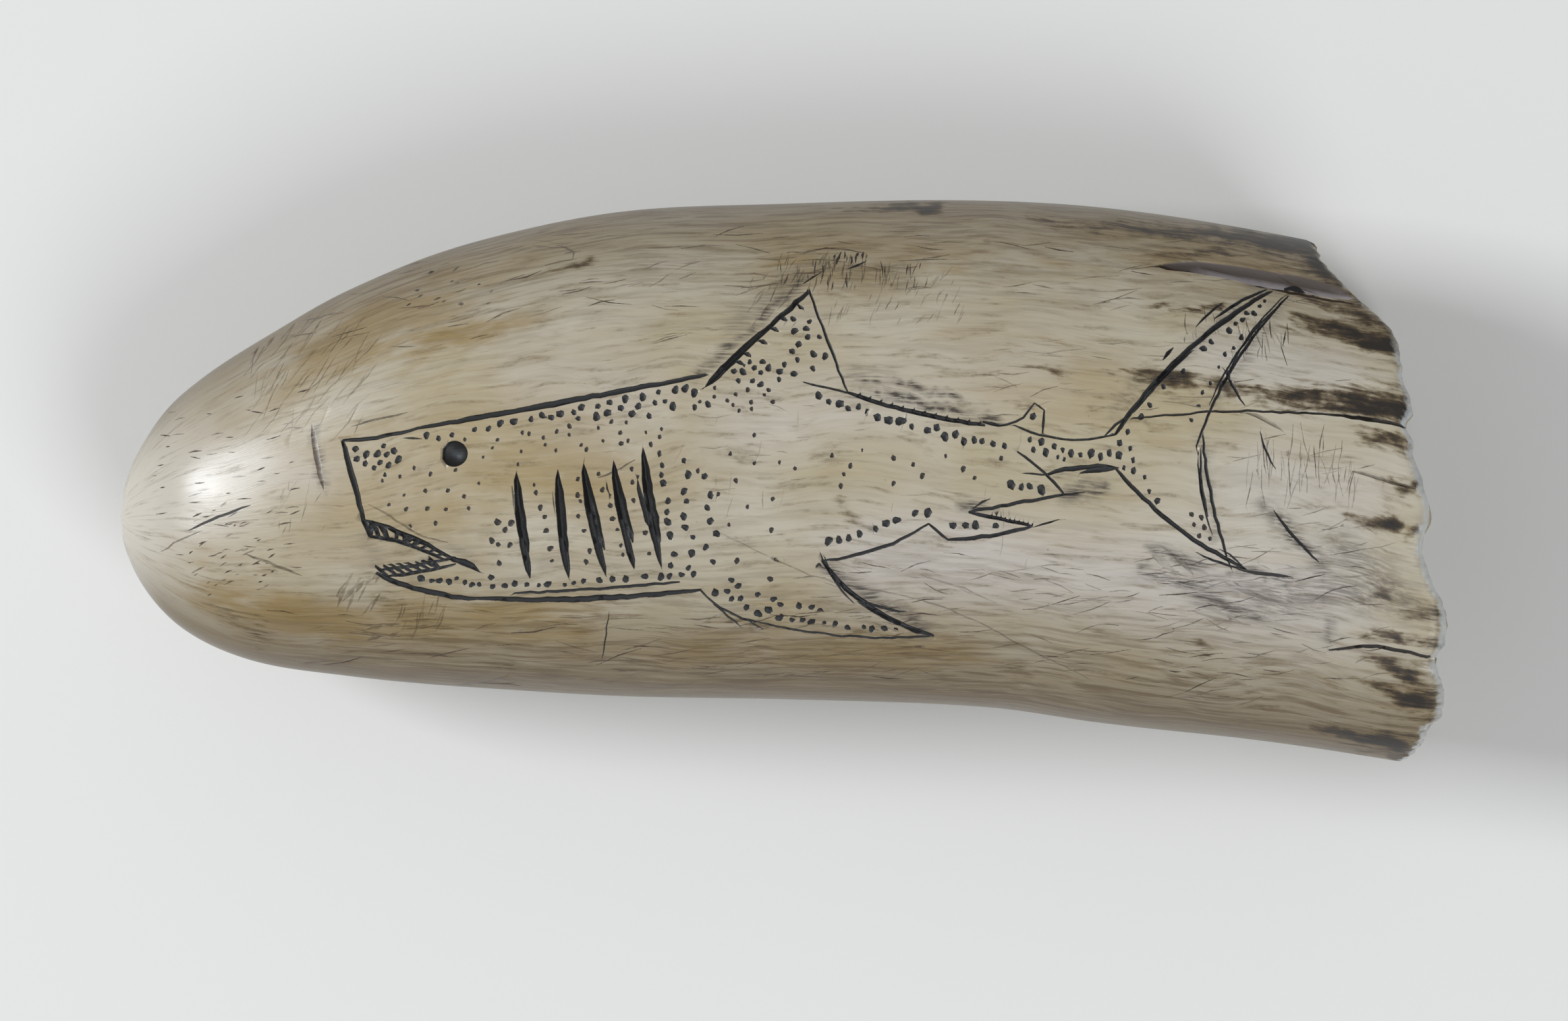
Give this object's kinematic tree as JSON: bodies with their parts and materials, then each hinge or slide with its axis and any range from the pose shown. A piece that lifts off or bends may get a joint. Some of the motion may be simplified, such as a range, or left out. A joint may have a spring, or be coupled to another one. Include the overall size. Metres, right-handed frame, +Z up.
{
  "type": "scrimshaw whale tooth",
  "caption": "Polished whale tooth with a rounded tip, a broken hollow root and a shark engraved on one face, lying on its side.",
  "frame": {"origin": "middle of the length and width, on the surface that the tooth lies on", "axes": "+X from the rounded tip to the broken root, +Y to the upper edge of the engraved picture, +Z up, out of the engraved face"},
  "size_m": [0.1528, 0.0646, 0.0426],
  "materials": {
    "ivory": "polished tooth ivory, satin, aged cream to ochre, with dark pigment rubbed into the engraving"
  },
  "bodies": {
    "root": {"tooth": "ivory"}
  },
  "joints": []
}
